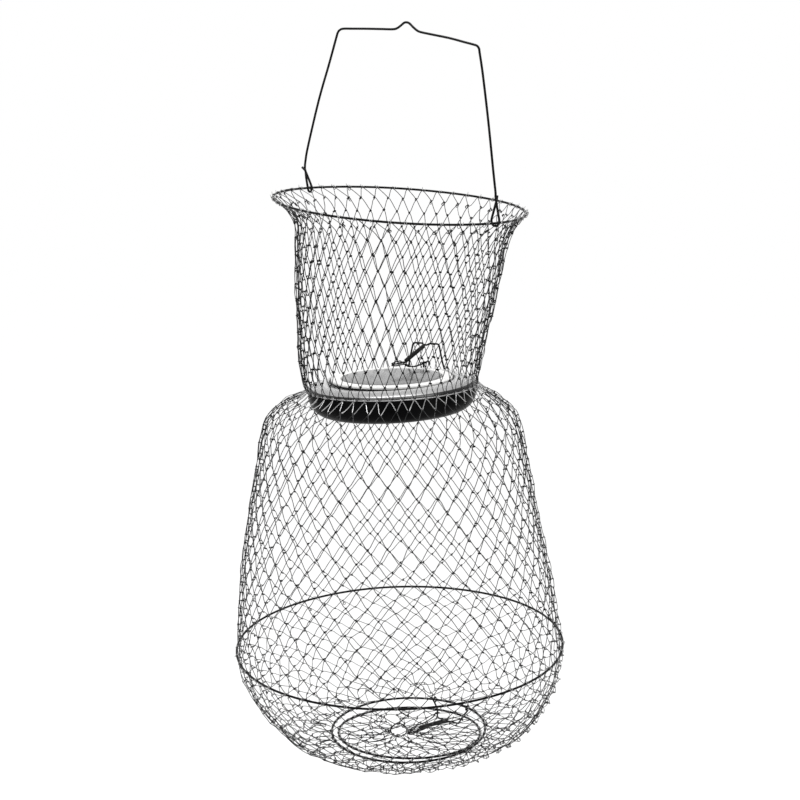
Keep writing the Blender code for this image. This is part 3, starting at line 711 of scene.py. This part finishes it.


# %% [markdown]
# Each net has a list of values that make it look like its own part of the basket. outline is its shape,
# as height below its upper ring and radius, in millimetres. pitch says how tall the meshes are on the way
# down, level how the net turns from the upper ring's plane into the lower one's, and bow how far it bulges
# sideways. The body's top row of strands takes the pale tie finish, a painted glint on the wire where it
# crosses the black float. The neck has the narrowest meshes and the most curled ends, and the bowl's meshes
# pucker most.

# %% Neck, body and bowl
NECK = [(0.0, 173.4), (8.0, 165.5), (20.0, 154.5), (35.0, 149.0), (50.0, 146.5), (100.0, 142.2),
        (160.0, 135.5), (210.0, 129.0), (240.0, 124.6), (258.0, 122.3)]
BODY = [(0.0, 122.3), (6.5, 128.5), (14.5, 140.0), (23.5, 156.5), (33.5, 168.0), (43.5, 178.0),
        (68.5, 186.2), (108.5, 194.2), (188.5, 208.2), (288.5, 226.0), (387.5, 237.6)]
BOWL = [(0.0, 237.6), (31.0, 234.0), (61.0, 222.4), (91.0, 204.2), (116.0, 181.5), (131.0, 154.0),
        (137.5, 118.0)]
STEADY = [(0.0, 0.0), (0.25, 0.25), (0.5, 0.5), (0.75, 0.75), (1.0, 1.0)]
NONE = [(0.0, 0.0), (1.0, 0.0)]
NECK_SKIN = dict(
    meshes=48, knots=1.0, pucker=0.5, painted_glint=0, curls=0.45,
    upper=mouth, lower=float_tier, outline=NECK, level=STEADY, sag=NONE,
    pitch=[(0.0, 0.84), (0.12, 1.0), (1.0, 1.0)],
    bow=[(0.0, 0.0), (0.05, 4.5), (0.12, 6.0), (0.25, 2.5), (0.5, 0.0), (0.8, -4.0), (0.95, -3.0),
         (1.0, 0.0)])
BODY_SKIN = dict(
    meshes=45, knots=0.88, pucker=0.5, painted_glint=1, curls=0.0,
    upper=float_tier, lower=hoop, outline=BODY, level=[(0.0, 0.0), (0.09, 0.95), (1.0, 1.0)], sag=NONE,
    pitch=[(0.0, 0.7), (0.04, 1.05), (0.45, 1.0), (0.8, 0.92), (0.93, 0.8), (1.0, 0.6)],
    bow=[(0.0, 0.0), (0.05, -4.0), (0.2, -3.0), (0.5, -4.5), (0.85, -2.0), (1.0, 0.0)])
BOWL_SKIN = dict(
    meshes=45, knots=0.72, pucker=1.4, painted_glint=0, curls=0.3,
    upper=hoop, lower=bottom, outline=BOWL, level=STEADY, bow=NONE,
    pitch=[(0.0, 1.0), (1.0, 1.0)],
    sag=[(0.0, 0.0), (0.6, 0.0), (0.93, 1.5), (1.0, 0.0)])

neck = knotted_net("neck_mesh", NECK_SKIN, rows=13, seed=11, jitter=0.0008, phase=math.radians(2.3))
body = knotted_net("body_mesh", BODY_SKIN, rows=22, seed=12, jitter=0.0008)
bowl = knotted_net("bowl_mesh", BOWL_SKIN, rows=18, seed=13, jitter=0.0016)
for piece, node, bodies, ends in ((neck, "neck_net", ("mouth", "float"), (mouth, float_tier)),
                                  (body, "body_net", ("float", "hoop"), (float_tier, hoop)),
                                  (bowl, "bowl_net", ("hoop", "bottom"), (hoop, bottom))):
    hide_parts(node)
    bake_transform(piece)
print("net faces:", sum(len(piece.data.polygons) for piece in (neck, body, bowl)))

# %% [markdown]
# The door's net is drawn together in its middle, on a small ring. Its knots sit far less evenly than
# elsewhere, and each row has fewer of them, so its meshes are crooked polygons rather than diamonds.
# A row holds its radius, how far it sinks, its number of knots and how far they stray, in millimetres.

# %% Door net
rng = random.Random(21)
bm = bmesh.new()
door_rows = [(103.4, 0.0, 30, 0.0), (88.0, 1.0, 29, 3.4), (72.0, 2.2, 27, 3.8), (56.0, 3.4, 24, 4.0),
             (41.0, 4.4, 20, 3.4), (27.0, 4.0, 16, 2.2), (13.6, 0.8, 12, 0.0)]
door_edge = door_rows[0][0]
gathered = Vector((-0.0118, -0.0112, 0.0030))
spots = []
for level, (radius, sink, count, spread) in enumerate(door_rows):
    row = []
    for cell in range(count):
        angle = 2 * math.pi * (cell + 0.5 * (level % 2)) / count + rng.gauss(0, spread) / radius
        reach = radius + rng.gauss(0, spread)
        flat = Vector((reach * math.cos(angle), reach * math.sin(angle), -sink + rng.gauss(0, 0.3 * spread)))
        row.append((angle % (2 * math.pi), door @ (flat * 0.001 + gathered * (1.0 - radius / door_edge))))
    spots.append(sorted(row, key=lambda spot: spot[0]))


def nearest_two(angle, row):
    """The two knots of a row that lie nearest to an angle."""
    ordered = sorted(row, key=lambda spot: abs((spot[0] - angle + math.pi) % (2 * math.pi) - math.pi))
    return ordered[:2]


door_up = door.to_3x3() @ Vector((0, 0, 1))
knot_half = door_up * 0.0018
for level, row in enumerate(spots):
    for angle, point in row:
        if 0 < level < len(spots) - 1:
            out = Vector((math.cos(angle), math.sin(angle), 0))
            knot(bm, point - knot_half, point + knot_half, out, rng)
        if level == len(spots) - 1:
            continue
        for _, goal in nearest_two(angle, spots[level + 1]):
            middle = point.lerp(goal, 0.5) + door_up * rng.gauss(0, 0.0006)
            sweep(bm, [point, middle, goal], STRAND, sides=4)
door_net = finish_mesh("door_mesh", bm, (STRANDS, KNOTS), sharp=70.0)
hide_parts("door_net")
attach(door_net, "door")
gather_tier = door @ Matrix.Translation(gathered) @ Matrix.Rotation(math.radians(30.0), 4, RIGHT)
gather_path = round_path(gather_tier, 0.012, 40, wobble=0.0003)
gather = wire("gather_hoop", gather_path, 0.0009, PAINTED, sides=8, closed=True)
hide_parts("gather_ring")
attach(gather, "door")
print("door net faces:", len(door_net.data.polygons))

# %% [markdown]
# The net is tied to every ring by its own wire. Each tie takes a turn and a half round the ring and ends in
# a cut tip, which stands proud on the mouth ring. There is about one tie for each edge knot, and more on the
# door. At the float's seam the ties go round a wire of their own.

# %% Lashings


def lashing(name, matrix, radius, body, seed, inside=True, tip=0.004, hang=0.0, thick=WIRE, phase=0.0,
            count=48):
    """Ties at even steps round a ring, each with a cut tip, and with a hanging curl here and there."""
    rng = random.Random(seed)
    bm = bmesh.new()
    way = -1 if inside else 1
    for cell in range(count):
        angle = phase + 2 * math.pi * cell / count + rng.gauss(0, 0.01)
        out = Vector((math.cos(angle), math.sin(angle), 0.0))
        along = Vector((-math.sin(angle), math.cos(angle), 0.0))
        centre = out * radius
        path = []
        for step in range(15):
            part = step / 14
            turn = 2 * math.pi * 1.5 * part + rng.uniform(-0.1, 0.1)
            reach = thick + 0.0007 + 0.0003 * part
            rise = Vector((0, 0, 1)) * reach * math.sin(turn)
            path.append(centre + way * out * reach * math.cos(turn) + rise + along * (0.0042 * (part - 0.5)))
        last = path[-1]
        stand = tip * rng.uniform(0.4, 1.3)
        path.append(last + Vector((0, 0, stand)) + along * rng.uniform(-0.002, 0.002)
                    + out * rng.uniform(-0.001, 0.002))
        sweep(bm, [matrix @ p for p in path], 0.00040, sides=5)
        if hang and rng.random() < 0.4:
            size = hang * rng.uniform(0.5, 1.1)
            lean = rng.uniform(-0.8, 0.8)
            curl = [centre + way * out * (thick + 0.0008)]
            for step in range(11):
                turn = 2 * math.pi * step / 10 * rng.uniform(0.95, 1.1)
                curl.append(centre + way * out * (thick + 0.0012 + 0.0008 * step / 10)
                            + Vector((0, 0, -1)) * size * (0.5 - 0.5 * math.cos(turn) + 0.1)
                            + along * (0.42 * size * math.sin(turn) + lean * size * 0.3 * step / 10))
            sweep(bm, [matrix @ p for p in curl], 0.00047, sides=5, finish=1)
    piece = finish_mesh(name, bm, (TIE_WIRE_AND_GLINT, STRANDS), sharp=70.0)
    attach(piece, body)
    return piece


lashing("mouth_lashing", mouth, MOUTH_R, "mouth", 31, hang=0.006, phase=math.radians(1.5))
lashing("hoop_lashing", hoop, HOOP_R, "hoop", 32, tip=0.0, count=45)
lashing("bottom_lashing", bottom, BOTTOM_R, "bottom", 33, inside=False, tip=0.0, hang=0.006, count=45)
lashing("door_lashing", door, DOOR_R, "door", 34, tip=0.0)
seam = float_tier @ Matrix.Rotation(math.radians(-0.6), 4, VIEW) @ Matrix.Translation((0, 0, 0.0012))
lashing("float_lashing", seam, 0.1218, "float", 35, tip=0.0, thick=0.0007, count=45)
float_tie = wire("float_tie", round_path(seam, 0.1218, wobble=0.0003), 0.0007, TIE_WIRE_AND_GLINT, sides=8, closed=True)
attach(float_tie, "float")
print("lashings: 5")

# %% [markdown]
# The camera stands about two and a half metres away, a little above the mouth, and looks slightly down.

# %% Camera
camera_data = bpy.data.cameras.new("camera")
camera_data.sensor_width = 36.0
camera_data.lens = camera_data.sensor_width / 2 / math.tan(math.radians(25.25 / 2))
camera = bpy.data.objects.new("camera", camera_data)
bpy.context.scene.collection.objects.link(camera)
camera.location = MOUTH + VIEW * 2.4712 + Vector((0, 0, 0.3378))
pitch = math.radians(14.03)
aim = -VIEW * math.cos(pitch) - Vector((0, 0, math.sin(pitch)))
camera.rotation_euler = aim.to_track_quat("-Z", "Y").to_euler()
bpy.context.scene.camera = camera
print("camera at", [round(v, 3) for v in camera.location])

# %% [markdown]
# The floor lies well below the basket. It is large and white, so that it is the whole background.

# %% Floor
floor_mesh = bpy.data.meshes.new("floor")
bm = bmesh.new()
bmesh.ops.create_grid(bm, x_segments=1, y_segments=1, size=140.0)
bm.to_mesh(floor_mesh)
bm.free()
floor_look = bpy.data.materials.new("floor_pale")
floor_look.use_nodes = True
floor_shader = floor_look.node_tree.nodes["Principled BSDF"].inputs
floor_shader["Base Color"].default_value = (1.0, 1.0, 1.0, 1.0)
floor_shader["Roughness"].default_value = 1.0
floor_shader["Specular IOR Level"].default_value = 0.0
floor_mesh.materials.append(floor_look)
floor = bpy.data.objects.new("floor", floor_mesh)
floor.location = (0, 0, -1.60)
bpy.context.scene.collection.objects.link(floor)
print("floor at", round(floor.location.z, 2))

# %% [markdown]
# The world is plain white at strength 1, so that every colour renders about as it is written.
# One wide soft lamp above the float gives its top some shine.

# %% Light
world = bpy.data.worlds.new("studio")
bpy.context.scene.world = world
world.use_nodes = True
background = world.node_tree.nodes["Background"]
background.inputs["Color"].default_value = (1.0, 1.0, 1.0, 1.0)
background.inputs["Strength"].default_value = 1.0


def soft_light(name, place, target, size, power):
    """A rectangular lamp that faces its target."""
    data = bpy.data.lights.new(name, "AREA")
    data.shape = "RECTANGLE"
    data.size, data.size_y = size
    data.energy = power
    lamp = bpy.data.objects.new(name, data)
    lamp.location = place
    lamp.rotation_euler = (Vector(target) - Vector(place)).to_track_quat("-Z", "Y").to_euler()
    bpy.context.scene.collection.objects.link(lamp)
    return lamp


above_float = float_tier.translation - VIEW * 0.22 + Vector((0, 0, 1.25))
strip = soft_light("strip", above_float, float_tier.translation, (1.3, 0.42), 10.0)
bpy.context.scene.view_settings.view_transform = "Standard"
print("lamp at", [round(v, 3) for v in strip.location])
